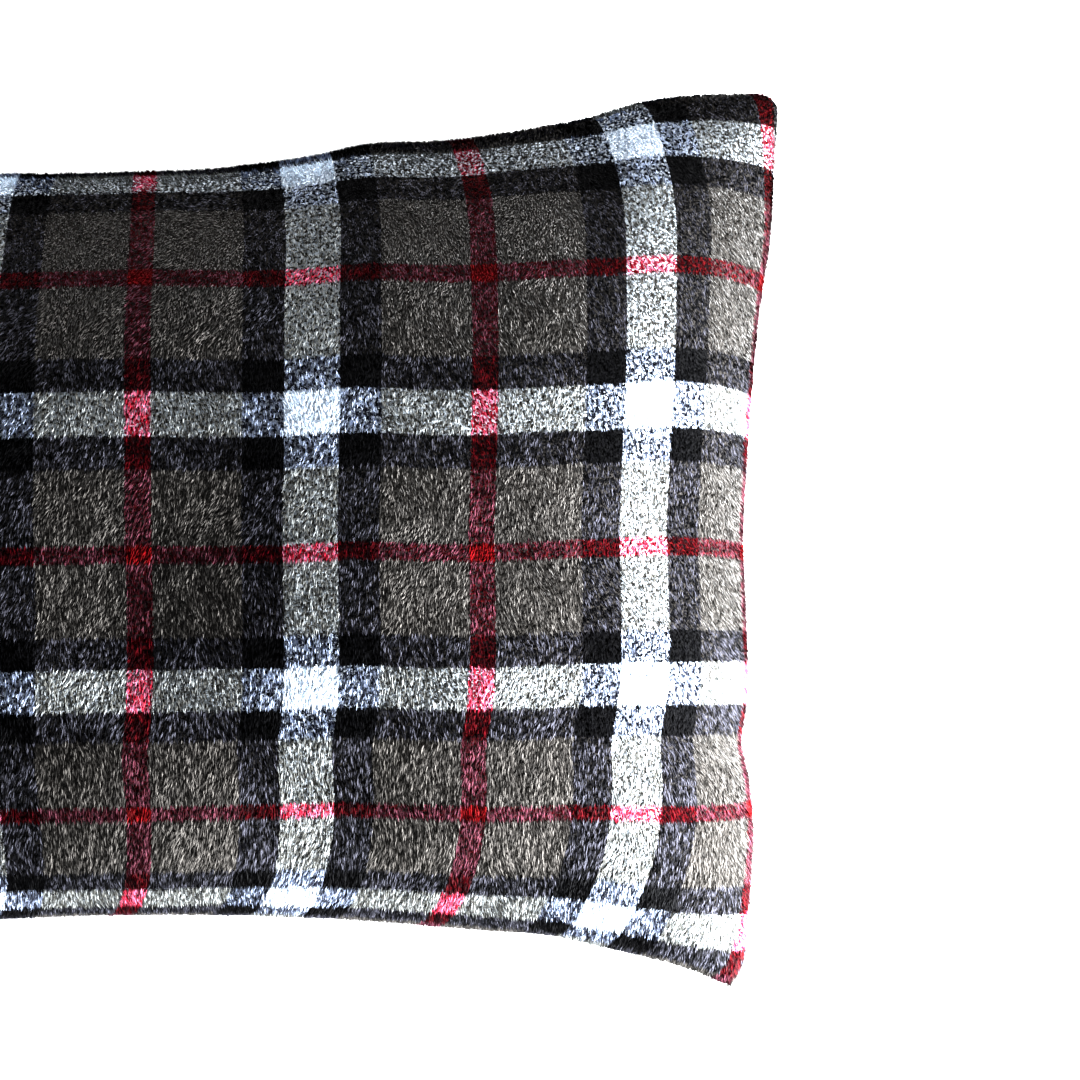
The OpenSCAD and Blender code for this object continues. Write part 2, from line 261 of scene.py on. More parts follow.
def simulate_cover():
    """The cover's front and back grids: the filled shape with its lumps, run as cloth under pressure.

    The sewn seam is held in place. With FILL at 1 the cloth starts out at rest, and the simulation
    moves it by 0.002 mm at most, so the shape that shows is the formula's and not a simulated one.
    """
    dome = filled_dome()
    dome[..., 2] += lumps(cut_grid(dome.shape[:2]))
    front = dome + [0, 0, SEAM_Z]
    back = dome * [1, 1, -1] + [0, 0, SEAM_Z]
    shape = dome.shape[:2]
    inside = np.zeros(shape, bool)
    inside[1:-1, 1:-1] = True
    front_index = np.arange(inside.size).reshape(shape)
    back_index = front_index.copy()
    back_index[inside] = inside.size + np.arange(inside.sum())
    flat = cut_grid(shape)
    points = np.concatenate([front.reshape(-1, 3), back[inside]])
    cut = np.concatenate([flat.reshape(-1, 3), flat[inside]])
    bag = new_object("bag", points, np.concatenate([quads(front_index), quads(back_index, True)]))
    seam = bag.vertex_groups.new(name="seam")
    seam.add([int(i) for i in front_index[~inside]], 1.0, "REPLACE")
    bag.shape_key_add(name="Basis")
    key = bag.shape_key_add(name="cut")
    key.data.foreach_set("co", cut.astype(np.float32).ravel())
    modifier = bag.modifiers.new("Cloth", "CLOTH")
    cloth = modifier.settings
    cloth.quality = 8
    cloth.mass = 0.1
    cloth.tension_stiffness = cloth.compression_stiffness = 40
    cloth.shear_stiffness = 12
    cloth.bending_stiffness = 0.6
    cloth.tension_damping = cloth.compression_damping = 12
    cloth.bending_damping = 1
    cloth.air_damping = 5
    cloth.rest_shape_key = key
    cloth.vertex_group_mass = "seam"
    cloth.use_pressure = True
    cloth.uniform_pressure_force = 0
    cloth.use_pressure_volume = True
    cloth.target_volume = FILL * enclosed(front, back)
    cloth.pressure_factor = 200
    cloth.effector_weights.gravity = 0
    modifier.collision_settings.use_collision = False
    frames = 24
    modifier.point_cache.frame_end = frames
    for f in range(1, frames + 1):
        bpy.context.scene.frame_set(f)
    filled = bag.evaluated_get(bpy.context.evaluated_depsgraph_get())
    co = np.zeros(len(filled.data.vertices) * 3)
    filled.data.vertices.foreach_get("co", co)
    co = co.reshape(-1, 3)
    bpy.data.objects.remove(bag)
    bpy.context.scene.frame_set(1)
    return co[front_index], co[back_index]


def settled(grid, side):
    """The simulated grid with its underside pressed flat by what it lies on, and its zip end parted."""
    out = grid.copy()
    if side < 0:
        z = out[..., 2] - PILE
        out[..., 2] = PILE + (z + np.sqrt(z * z + (4 * MM) ** 2)) / 2
    return open_slit(out, side)


def open_slit(grid, side):
    """Parts the two panels where the zip sits, and folds the cloth back from it."""
    out = grid.copy()
    y = out[..., 1]
    along = np.clip((ZIP_HALF + 9 * MM - np.abs(y)) / (9 * MM), 0, 1)
    along = along * along * (3 - 2 * along)
    inward = np.linspace(0, FLAT_L, CELLS_X + 1)[:, None]
    out[..., 2] += side * SLIT_HALF * along * np.exp(-((inward / (16 * MM)) ** 2))
    return out


def unit(v):
    return v / np.maximum(np.linalg.norm(v, axis=-1, keepdims=True), 1e-12)


def grid_normals(grid, side):
    along = np.gradient(grid, axis=0)
    across = np.gradient(grid, axis=1)
    return unit(side * np.cross(along, across))


# ---------------------------------------------------------------- materials

class Nodes:
    """A short way to write a material's nodes."""

    def __init__(self, name, roughness=0.8, specular=0.3):
        self.material = bpy.data.materials.new(name)
        self.material.use_nodes = True
        self.tree = self.material.node_tree
        self.shader = self.tree.nodes["Principled BSDF"]
        self.set("Roughness", roughness)
        self.set("Specular IOR Level", specular)

    def node(self, kind, settings=None, **inputs):
        n = self.tree.nodes.new("ShaderNode" + kind)
        for key, value in (settings or {}).items():
            setattr(n, key, value)
        for key, value in inputs.items():
            numbered = key[0] == "i" and key[1:].isdigit()
            self.put(n.inputs[int(key[1:])] if numbered else n.inputs[key], value)
        return n

    def put(self, socket, value):
        if isinstance(value, bpy.types.NodeSocket):
            self.tree.links.new(value, socket)
        else:
            socket.default_value = value

    def maths(self, operation, a, b=0.0):
        return self.node("Math", {"operation": operation}, i0=a, i1=b).outputs[0]

    def mixed(self, blend_type, share, a, b):
        n = self.node("Mix", {"data_type": "RGBA", "blend_type": blend_type}, i0=share, i6=a, i7=b)
        return n.outputs[2]

    def ramp(self, share, low, high):
        n = self.node("ValToRGB", i0=share)
        n.color_ramp.elements[0].color = low
        n.color_ramp.elements[1].color = high
        return n.outputs[0]

    def place(self, name=None):
        if name:
            return self.node("Attribute", {"attribute_name": name}).outputs["Vector"]
        return self.node("TexCoord").outputs["Object"]

    def noise(self, place, scale, detail=2.0):
        return self.node("TexNoise", i0=place, Scale=scale, Detail=detail).outputs[0]

    def bump(self, height, depth, strength=1.0):
        n = self.node("Bump", Strength=strength, Distance=depth, Height=height)
        self.set("Normal", n.outputs[0])

    def set(self, name, value):
        self.put(self.shader.inputs[name], value)


def srgb(r, g, b):
    """An 8-bit display colour as the linear one that a shader takes."""
    c = np.array([r, g, b]) / 255
    lin = np.where(c <= 0.04045, c / 12.92, ((c + 0.055) / 1.055) ** 2.4)
    return (*lin.tolist(), 1.0)


# Yarn colours on an 8-bit display scale, in the order that the tufts number them
YARNS = {"taupe": (64, 61, 58), "black": (7, 7, 9), "white": (216, 225, 235), "red": (92, 4, 10)}
# The backing's yarn colours are multiplied by this: painted shade for the shadow that the pile casts on it
BACKING_PAINTED_SHADE = 0.5

# The darkest and lightest flecks where two yarns cross, in the order that yarn_pair numbers the pairs. The
# spread between them is partly the yarns' mix and uneven tone, and partly painted shade in the gaps between
# fibres and painted highlight on their tips.
CROSSINGS = {
    "taupe_taupe": ((46, 44, 42), (87, 84, 81)),
    "taupe_black": ((15, 15, 18), (72, 72, 80)),
    "taupe_white": ((90, 90, 87), (142, 145, 145)),
    "taupe_red": ((44, 11, 18), (90, 52, 63)),
    "black_black": ((4, 4, 6), (7, 7, 9)),
    "black_white": ((36, 38, 48), (150, 160, 180)),
    "black_red": ((28, 1, 5), (70, 2, 11)),
    "white_white": ((204, 213, 223), (228, 236, 245)),
    "white_red": ((150, 34, 54), (184, 104, 128)),
    "red_red": ((84, 3, 8), (102, 5, 11)),
}
LEVELS = 3


def yarn_materials():
    """A few looks of tuft for every pair of yarns, from its darkest flecks to its lightest."""
    made = []
    for name, (dark, light) in CROSSINGS.items():
        for level, share in enumerate(np.linspace(0, 1, LEVELS)):
            n = Nodes(f"pile_{name}_{level}", 0.6, 0.05)
            n.set("Base Color", srgb(*[a + (b - a) * share for a, b in zip(dark, light)]))
            if name == "taupe_taupe":
                n.set("Sheen Weight", 0.35)
                n.set("Sheen Roughness", 0.4)
            made.append(n.material)
    return made


def stripe_stops(sett, red, bar):
    """(share of the sett, yarn) from one red line's middle to the next's, for a constant colour ramp."""
    edges = [(0.0, "red"), (red / 2, "taupe")]
    steps = (-BLACK_REACH, -WHITE_REACH, WHITE_REACH, BLACK_REACH)
    for step, yarn in zip(steps, ("black", "white", "black", "taupe")):
        edges.append((sett / 2 + step * bar, yarn))
    edges.append((sett - red / 2, "red"))
    return [(place / sett, yarn) for place, yarn in edges]


def backing_material():
    """The knitted ground under the pile, dyed in the same tartan, with its colours darkened as painted shade
    from the pile over it.
    """
    n = Nodes("plush_backing", 0.95, 0.1)
    place = n.place("print")
    axes = n.node("SeparateXYZ", i0=place).outputs
    colours = []
    for axis, (sett, red, bar, first) in enumerate((STRIPES_X, STRIPES_Y)):
        share = n.maths("DIVIDE", n.maths("SUBTRACT", axes[axis], first), sett)
        share = n.maths("FRACT", n.maths("ADD", share, 8.0))
        ramp = n.node("ValToRGB", i0=share)
        ramp.color_ramp.interpolation = "CONSTANT"
        stops = stripe_stops(sett, red, bar)
        points = ramp.color_ramp.elements
        points[0].position, points[1].position = 0.0, 1.0
        # Every yarn colour of the backing is darkened here as painted shade
        points[0].color = shaded(srgb(*YARNS["red"]), BACKING_PAINTED_SHADE)
        for at, yarn in stops[1:-1]:
            points.new(at).color = shaded(srgb(*YARNS[yarn]), BACKING_PAINTED_SHADE)
        points[-1].position = stops[-1][0]
        points[-1].color = shaded(srgb(*YARNS["red"]), BACKING_PAINTED_SHADE)
        colours.append(ramp.outputs[0])
    pick = n.maths("GREATER_THAN", n.noise(place, 900.0, 2.0), 0.5)
    both = n.mixed("MIX", pick, colours[0], colours[1])
    # The fibre noise drives both the bump and the colour: painted shade in the low gaps between fibres and
    # painted highlight on the raised tips
    fibres = n.noise(place, 1400.0, 3.0)
    painted_fibre_shading = n.ramp(fibres, (0.3, 0.3, 0.3, 1), (1.6, 1.6, 1.6, 1))
    n.set("Base Color", n.mixed("MULTIPLY", 1.0, both, painted_fibre_shading))
    n.bump(fibres, 0.4 * MM, 0.8)
    return n.material


def shaded(colour, shade):
    return (*[c * shade for c in colour[:3]], 1.0)


def woven_material(name, colour, pitch, depth, place=None, contrast=0.35, roughness=0.8):
    """A plain weave: two sets of ridges, a little uneven, with slight shade between the threads."""
    n = Nodes(name, roughness, 0.25)
    where = n.place(place)
    axes = n.node("SeparateXYZ", i0=where).outputs
    across = n.maths("SINE", n.maths("MULTIPLY", axes[0 if place else 1], 2 * math.pi / pitch))
    along = n.maths("SINE", n.maths("MULTIPLY", axes[1 if place else 2], 2 * math.pi / pitch))
    weave = n.maths("ADD", n.maths("MULTIPLY", across, along), n.noise(where, 0.5 / pitch, 3.0))
    weave = n.maths("MULTIPLY_ADD", weave, 0.35)
    n.set("Base Color", n.ramp(weave, shaded(colour, 1 - contrast), colour))
    n.bump(weave, depth)
    return n.material


def thread_material(name, colour):
    """Twisted sewing thread, its colour darker in the grooves between the plies as painted shade."""
    n = Nodes(name, 0.5, 0.4)
    where = n.place()
    plies = n.node("TexWave", {"bands_direction": "DIAGONAL"}, i0=where, Scale=700.0, Distortion=0.5)
    twist = plies.outputs[1]
    # The grooves between the plies are coloured darker: painted shade
    n.set("Base Color", n.ramp(twist, shaded(colour, 0.5), colour))
    n.bump(twist, 0.05 * MM)
    n.set("Sheen Weight", 0.3)
    return n.material


def coil_material():
    """Dark grey moulded polyester, faintly glossy, with a fine grain."""
    n = Nodes("zip_coil", 0.35, 0.5)
    grain = n.noise(n.place(), 3000.0, 2.0)
    n.set("Base Color", n.ramp(grain, srgb(34, 34, 36), srgb(52, 52, 54)))
    n.set("Roughness", n.maths("MULTIPLY_ADD", grain, 0.25))
    n.bump(grain, 0.02 * MM, 0.5)
    return n.material


def metal_material():
    """Die-cast alloy under a gunmetal lacquer, a little uneven and finely scratched."""
    n = Nodes("zip_gunmetal", 0.35, 0.5)
    where = n.place()
    clouds, scratches = n.noise(where, 160.0, 4.0), n.noise(where, 2400.0, 2.0)
    n.set("Base Color", n.ramp(clouds, srgb(112, 112, 116), srgb(148, 148, 152)))
    n.set("Metallic", 1.0)
    n.set("Roughness", n.node("MapRange", i0=clouds, i3=0.24, i4=0.46).outputs[0])
    n.bump(scratches, 0.015 * MM, 0.6)
    return n.material


def fibre_material():
    """White polyester filling: tangled fibre in soft clumps, coloured darker where the clumps sink as painted
    shade.
    """
    n = Nodes("fibre", 0.9, 0.2)
    where = n.place()
    tangle = n.maths("ADD", n.noise(where, 60.0, 4.0), n.maths("MULTIPLY", n.noise(where, 900.0, 3.0), 0.4))
    # The hollows between clumps are coloured darker: painted shade
    n.set("Base Color", n.ramp(tangle, srgb(205, 205, 205), srgb(248, 248, 246)))
    n.bump(tangle, 1.2 * MM)
    n.set("Sheen Weight", 0.4)
    return n.material


def satin_material():
    """White satin tape, smooth along its length with a fine rib across it. It is blank."""
    n = Nodes("label_satin", 0.42, 0.4)
    where = n.place()
    axes = n.node("SeparateXYZ", i0=where).outputs
    rib = n.maths("SINE", n.maths("MULTIPLY", axes[0], 2 * math.pi / (0.35 * MM)))
    shade = n.maths("MULTIPLY_ADD", n.noise(where, 260.0, 2.0), 0.8)
    n.set("Base Color", n.ramp(shade, srgb(222, 222, 220), srgb(246, 246, 244)))
    n.bump(rib, 0.04 * MM, 0.6)
    n.set("Sheen Weight", 0.5)
    n.set("Sheen Roughness", 0.3)
    return n.material


# ---------------------------------------------------------------- cover panels

ALLOWANCE = 7.4 * MM
HEM = 3.1 * MM
HEM_HEIGHT = 6 * MM
BACKING = 1.6 * MM


def drifted(flat):
    """Where the print puts a point of the cloth: it drifts some millimetres from square to the cut."""
    x, y = flat[..., 0], flat[..., 1]
    a, b = np.maximum(x, -5 * MM) / (100 * MM), y / (100 * MM)
    far = np.clip((b - 0.6) / 0.8, 0, 1)
    drawn = 2.2 * far * np.clip((a - 0.5) / 0.4, 0, 1) + 5.0 * far * np.clip((a - 1.4) / 0.6, 0, 1) ** 2
    lifted = 4.2 * far * np.clip((a - 1.1) / 0.5, 0, 1)
    out = flat.copy()
    out[..., 0] = x + (0.9 * b + 5.4 * b * b - 1.5 * a * b - 3.5 * a * b * b + drawn) * MM
    out[..., 1] = y + (4.3 * a - 1.9 * a * a + 6.8 * a * b - 4.1 * a * a * b - 3.4 * b * b + lifted) * MM
    return out


def border_loop(index):
    """The vertex numbers round a grid, once."""
    return np.concatenate([index[:-1, 0], index[-1, :-1], index[:0:-1, -1], index[0, :0:-1]])


def shell(name, fine, side, thickness, depth, rise):
    """A panel as a closed shell: outer face, edge turned in by depth and up by rise, and inner face."""
    shape = fine.shape[:2]
    count = shape[0] * shape[1]
    outer = np.arange(count).reshape(shape)
    rim = border_loop(outer)
    points = fine.reshape(-1, 3)
    seam = points[rim]
    inward = unit((np.array([0.0, 0.0, SEAM_Z]) - seam) * [1, 1, 0])
    turned = seam + inward * depth(seam)
    inner_points = (fine - thickness * grid_normals(fine, side)).reshape(-1, 3)
    inner_points[rim] = turned + side * UP * rise(seam)
    lip = count + np.arange(len(rim))
    inner = outer + count + len(rim)
    inner_rim = inner.ravel()[rim]
    fold = [
        np.stack([a, b, np.roll(b, -1), np.roll(a, -1)], -1) for a, b in ((rim, lip), (lip, inner_rim))
    ]
    flip = side < 0
    if flip:
        fold = [f[:, ::-1] for f in fold]
    faces = np.concatenate([quads(outer, flip), quads(inner, not flip), *fold])
    obj = new_object(name, np.concatenate([points, turned, inner_points]), faces, smooth=True)
    flat = drifted(cut_grid(shape)).reshape(-1, 3)
    place = obj.data.attributes.new("print", "FLOAT_VECTOR", "POINT")
    place.data.foreach_set("vector", np.concatenate([flat, flat[rim], flat]).astype(np.float32).ravel())
    return obj


def everywhere(value):
    """A depth or rise for shell() that is the same all along the seam."""
    return lambda seam: np.full((len(seam), 1), value)


def beside_zip(points):
    """Which points of the seam lie where the zip is."""
    return (points[:, 0] < ZIP_X + 4 * MM) & (np.abs(points[:, 1]) < ZIP_HALF + 4 * MM)


def cover_panel(name, grid, side):
    return shell(
        name, refined(grid, FINE), side, BACKING,
        lambda seam: np.where(beside_zip(seam), HEM, ALLOWANCE)[:, None],
        lambda seam: np.where(beside_zip(seam), HEM_HEIGHT, 1.4 * MM)[:, None],
    )


# ---------------------------------------------------------------- pile

TUFTS = 190_000  # in each of the two pieces that make up a panel's pile
TUFT_LENGTH, TUFT_WIDTH = 2.1 * MM, 0.5 * MM


def yarn_at(t, sett, red, bar, first):
    """Which yarn lies at t along one axis: 0 taupe, 1 black, 2 white, 3 red."""
    d = np.abs((t - first + sett / 2) % sett - sett / 2)
    bars = np.abs(d - sett / 2) / bar
    out = np.zeros(t.shape, int)
    out[bars < BLACK_REACH] = 1
    out[bars < WHITE_REACH] = 2
    out[d < red / 2] = 3
    return out


def yarn_pair(a, b):
    """The number of an unordered pair of yarns: 0 to 9."""
    low, high = np.minimum(a, b), np.maximum(a, b)
    return low * 4 - low * (low - 1) // 2 + high - low


def tuft_colours(x, y, streak, local):
    """The material number of each tuft: the warp's yarn and the weft's, mixed in small flecks."""
    place = drifted(np.stack([x, y, 0 * x], -1))
    warp = yarn_at(place[:, 0], *STRIPES_X)
    weft = yarn_at(place[:, 1], *STRIPES_Y)
    fleck = soft_noise(x, 0.8 * y, 0.9 * MM, 9)
    # Darker and lighter tones stand partly for the yarns' uneven tone and partly for painted shade between
    # fibres and painted highlight on their tips
    tone = np.where(warp == weft, 0.75 * streak, fleck) + local.normal(0, 0.22, len(x))
    return yarn_pair(warp, weft) * LEVELS + np.digitize(tone, (-0.16, 0.16))


def pile(name, grid, side, seed, materials):
    """Half the tufts of one panel: a leaning blade for each, in its yarn's colour."""
    fine = refined(grid, 4)
    local = np.random.default_rng(seed)
    count = TUFTS
    columns = int(math.sqrt(count * FLAT_L / FLAT_W))
    rows = count // columns
    gx, gy = np.meshgrid(np.arange(columns), np.arange(rows), indexing="ij")
    x = ((gx + local.uniform(0, 1, gx.shape)) / columns - 0.5).ravel() * FLAT_L
    y = ((gy + local.uniform(0, 1, gy.shape)) / rows - 0.5).ravel() * FLAT_W
    clear = (x + FLAT_L / 2 < 2.5 * MM) & (np.abs(y) < ZIP_HALF + 10 * MM)
    x, y = x[~clear], y[~clear]
    n = len(x)
    root = sample(fine, x, y)
    normal = unit(sample(grid_normals(fine, side), x, y))
    along = unit(sample(np.gradient(fine, axis=0), x, y))
    across = unit(np.cross(normal, along) * side)
    swirl = 0.35 * soft_noise(x, y, 24 * MM, 3) + 0.4 * soft_noise(x, y, 6 * MM, 4)
    streak = soft_noise(np.clip(x + 1.5 * MM * swirl, -0.203, 0.203), 0.3 * y, 0.7 * MM, 6)
    heading = math.radians(-95) + 0.8 * swirl + local.normal(0, 0.12, n)
    near_zip = np.clip(1 - (x + FLAT_L / 2) / (14 * MM), 0, 1) * (np.abs(y) < ZIP_HALF + 12 * MM)
    heading = heading * (1 - near_zip)
    lean = np.radians(56 - 12 * streak + local.normal(0, 7, n))
    lay = np.cos(heading)[:, None] * along + np.sin(heading)[:, None] * across
    direction = unit(np.cos(lean)[:, None] * normal + np.sin(lean)[:, None] * lay)
    width_way = unit(np.cross(direction, normal))
    roll = local.normal(0, 0.6, n)[:, None]
    width_way = np.cos(roll) * width_way + np.sin(roll) * unit(np.cross(width_way, direction))
    length = TUFT_LENGTH * local.uniform(0.65, 1.25, n)[:, None]
    width = TUFT_WIDTH * local.uniform(0.7, 1.25, n)[:, None]
    base = root - 0.15 * MM * normal
    tip = base + direction * length
    points = np.stack([base - width_way * width / 2, base + width_way * width / 2, tip], 1).reshape(-1, 3)
    points[:, 2] = np.maximum(points[:, 2], 0.1 * MM)
    obj = new_object(name, points, np.arange(3 * n).reshape(-1, 3))
    for m in materials:
        obj.data.materials.append(m)
    reach = 0.6 * np.sin(lean) * length[:, 0]
    seen_x, seen_y = x + reach * np.cos(heading), y + reach * np.sin(heading)
    numbers = tuft_colours(seen_x, seen_y, streak, local)
    obj.data.polygons.foreach_set("material_index", numbers.astype(np.int32))
    obj.data.update()
    return obj


# ---------------------------------------------------------------- inner pillow

def nested(grid, scale_x, scale_yz):
    """A smaller copy of a cover grid for a layer inside it."""
    middle = np.array([0.0, 0.0, SEAM_Z])
    return (grid - middle) * [scale_x, scale_yz, scale_yz] + middle


def filling(front, back):
    """The fibre filling: one closed lump inside the casing."""
    shape = front.shape[:2]
    inside = np.zeros(shape, bool)
    inside[1:-1, 1:-1] = True
    front_index = np.arange(inside.size).reshape(shape)
    back_index = front_index.copy()
    back_index[inside] = inside.size + np.arange(inside.sum())
    flat = cut_grid(shape)
    tufty = soft_noise(flat[..., 0].ravel(), flat[..., 1].ravel(), 9 * MM, 12).reshape(shape)[..., None]
    front = front - grid_normals(front, 1) * 0.8 * MM * (1 + tufty)
    back = back - grid_normals(back, -1) * 0.8 * MM * (1 - tufty)
    middle_rim = (front + back) / 2
    front[~inside] = middle_rim[~inside]
    points = np.concatenate([front.reshape(-1, 3), back[inside]])
    return new_object("filling", points, np.concatenate([quads(front_index), quads(back_index, True)]), True)


# ---------------------------------------------------------------- thread

def stitch_row(name, centres, along, out, reach, length=3.2 * MM, thick=0.34 * MM):
    """A row of lockstitches: over and under each centre, at reach along out, lies a short arch of thread."""
    stations = np.array([-0.5, -0.47, -0.3, 0.0, 0.3, 0.47, 0.5])
    girth = np.array([0.25, 0.75, 1.0, 1.0, 1.0, 0.75, 0.25])
    rise = np.array([-0.9, -0.25, 0.1, 0.2, 0.1, -0.25, -0.9])
    corners = 8
    turn = np.linspace(0, 2 * math.pi, corners, endpoint=False)
    points, faces = [], []
    for side in (-1, 1):
        for c, a in zip(centres, along):
            up = out * side
            sideways = np.cross(a, up)
            ring = (
                c + up * reach + a * (stations * length)[:, None, None] + up * (rise * thick)[:, None, None]
                + (np.cos(turn)[:, None] * sideways + np.sin(turn)[:, None] * up)[None]
                * (girth * thick / 2)[:, None, None]
            )
            start = sum(len(p) for p in points)
            points.append(ring.reshape(-1, 3))
            index = start + np.arange(len(stations) * corners).reshape(len(stations), corners)
            index = np.concatenate([index, index[:, :1]], 1)
            faces.append(quads(index, side > 0))
            for end, flip in ((0, False), (-1, True)):
                cap = index[end, :-1] if (flip == (side > 0)) else index[end, :-1][::-1]
                faces.append(np.stack([cap[[0, 1, 2, 3]], cap[[0, 3, 4, 7]], cap[[4, 5, 6, 7]]]))
    return new_object(name, np.concatenate(points), np.concatenate(faces), smooth=True)


STITCH_PITCH = 4.2 * MM


def evenly(line, pitch):
    """Points a pitch apart on a polyline, and its direction at each."""
    steps = np.linalg.norm(np.diff(line, axis=0), axis=1)
    length = np.concatenate([[0], np.cumsum(steps)])
    count = int(length[-1] / pitch)
    at = (np.arange(count) + 0.5) * length[-1] / count
    centres = np.stack([np.interp(at, length, line[:, k]) for k in range(3)], -1)
    ahead = np.stack([np.interp(at + 0.2 * MM, length, line[:, k]) for k in range(3)], -1)
    return centres, unit(ahead - centres)


def sewn_sides(fine, inset, corner):
    """The four sides of a panel's edge, drawn in by inset and cut corner short of its corners."""
    sides = {"near_side": fine[:, 0], "far_side": fine[:, -1], "plain_end": fine[-1], "zip_end": fine[0]}
    out = {}
    for name, line in sides.items():
        line = line * [1, 1, 0] + [0, 0, SEAM_Z]
        tangent = unit(np.gradient(line, axis=0))
        inward = np.cross(UP, tangent)
        inward *= np.sign((inward * -line).sum(-1).mean())
        length = np.concatenate([[0], np.cumsum(np.linalg.norm(np.diff(line, axis=0), axis=1))])
        kept = (length > corner) & (length < length[-1] - corner)
        out[name] = (line + inward * inset)[kept]
    return out


# ---------------------------------------------------------------- zip

TAPE_LOW, TAPE_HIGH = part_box("zip_tape_upper")
COIL_LOW, COIL_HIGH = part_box("zip_coil_upper")
COIL_PITCH = 1.3 * MM


def rounded(obj, bevel, segments=2):
    """Rounds an object's sharp edges, with smooth shading between them."""
    m = obj.modifiers.new("bevel", "BEVEL")
    m.width, m.segments, m.limit_method, m.angle_limit = bevel, segments, "ANGLE", math.radians(35)
    m.harden_normals = False
    baked = bpy.data.meshes.new_from_object(obj.evaluated_get(bpy.context.evaluated_depsgraph_get()))
    obj.modifiers.clear()
    obj.data = baked
    obj.data.polygons.foreach_set("use_smooth", np.ones(len(baked.polygons), bool))
    obj.data.set_sharp_from_angle(angle=math.radians(40))
    return obj


def bevelled_copy(name, node, bevel):
    """A CAD node's shape in a new piece, its edges rounded."""
    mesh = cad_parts[node].data.copy()
    mesh.materials.clear()
    work = bmesh.new()
    work.from_mesh(mesh)
    bmesh.ops.remove_doubles(work, verts=work.verts, dist=0.002 * MM)
    bmesh.ops.dissolve_limit(work, angle_limit=math.radians(2), verts=work.verts, edges=work.edges)
    work.to_mesh(mesh)
    work.free()
    obj = bpy.data.objects.new(name, mesh)
    bpy.context.scene.collection.objects.link(obj)
    return rounded(obj, bevel)


def tape(name, side):
    """A zip tape: a thin band with a corded edge beside the coil and a slightly wavy free edge."""
    ys = np.linspace(TAPE_LOW.y, TAPE_HIGH.y, 216)
    heights = np.array([0, 0.5, 1.0, 1.6, 2.2, 4.0, 6.0, 8.0, 9.6, 10.2, 10.5]) * MM
    stations = np.array([0, 0.5, 1.0, 1.6, 2.2, 10.5]) * MM
    cord = np.interp(heights, stations, np.array([0.5, 0.9, 1.0, 0.9, 0.72, 0.7]))
    half = 0.3 * MM * cord
    half[[0, -1]] *= 0.5
    x_middle = (TAPE_LOW.x + TAPE_HIGH.x) / 2
    z0 = TAPE_LOW.z - SEAM_Z
    y, h = np.meshgrid(ys, heights, indexing="ij")
    sway = 0.1 * MM * np.sin(y / (7 * MM)) * (h / heights[-1]) ** 2
    z = SEAM_Z + side * (z0 + h)
    front = np.stack([x_middle - half[None] + sway, y, z], -1)
    rear = np.stack([x_middle + half[None] + sway, y, z], -1)
    n = y.size
    a = np.arange(n).reshape(y.shape)
    b = a + n
    rim_a, rim_b = border_loop(a), border_loop(b)
    edge = np.stack([rim_a, rim_b, np.roll(rim_b, -1), np.roll(rim_a, -1)], -1)
    flip = side < 0
    faces = np.concatenate([quads(a, not flip), quads(b, flip), edge if flip else edge[:, ::-1]])
    return new_object(name, np.concatenate([front.reshape(-1, 3), rear.reshape(-1, 3)]), faces, smooth=True)


def coil(name, side):
    """A zip coil: one filament wound in flattened loops, its tips clear of the slider's wedge."""
    turns = int((COIL_HIGH.y - COIL_LOW.y) / COIL_PITCH) - 1
    steps = 16
    t = np.arange(turns * steps + 1) / steps
    angle = 2 * math.pi * t
    half_x, radius = 0.56 * MM, 0.25 * MM
    tip, outer = 0.52 * MM, COIL_HIGH.z - SEAM_Z - radius
    x = (COIL_LOW.x + COIL_HIGH.x) / 2 + half_x * np.sin(angle)
    swing = np.sign(np.cos(angle)) * np.abs(np.cos(angle)) ** 0.7
    z = SEAM_Z + side * ((tip + outer) / 2 + (outer - tip) / 2 * swing)
    y = COIL_LOW.y + 0.5 * MM + COIL_PITCH * (t + (0.5 if side < 0 else 0.0))
    return tube(name, np.stack([x, y, z], -1), radius, 6)


def tube(name, line, radius, corners):
    """A closed tube along a line of points."""
    tangent = unit(np.gradient(line, axis=0))
    first = unit(np.cross(tangent, np.array([0.0, 1.0, 0.0])))
    second = np.cross(tangent, first)
    turn = np.linspace(0, 2 * math.pi, corners, endpoint=False)
    ring = np.cos(turn)[None, :, None] * first[:, None] + np.sin(turn)[None, :, None] * second[:, None]
    points = (line[:, None] + radius * ring).reshape(-1, 3)
    index = np.arange(len(points)).reshape(len(line), corners)
    index = np.concatenate([index, index[:, :1]], 1)
    middle = np.stack([line[0], line[-1]])
    start, end = len(points), len(points) + 1
    faces = quads(index, True)
    caps = np.array(
        [(start, index[0, k + 1], index[0, k], start) for k in range(corners)]
        + [(end, index[-1, k], index[-1, k + 1], end) for k in range(corners)]
    )
    obj = new_object(name, np.concatenate([points, middle]), faces, smooth=True)
    work = bmesh.new()
    work.from_mesh(obj.data)
    work.verts.ensure_lookup_table()
    for cap in caps:
        work.faces.new([work.verts[int(i)] for i in cap[:3]])
    work.to_mesh(obj.data)
    work.free()
    return obj


# ---------------------------------------------------------------- care label

LABEL_W, LABEL_OUT, LABEL_IN = 22 * MM, 14 * MM, 5.4 * MM


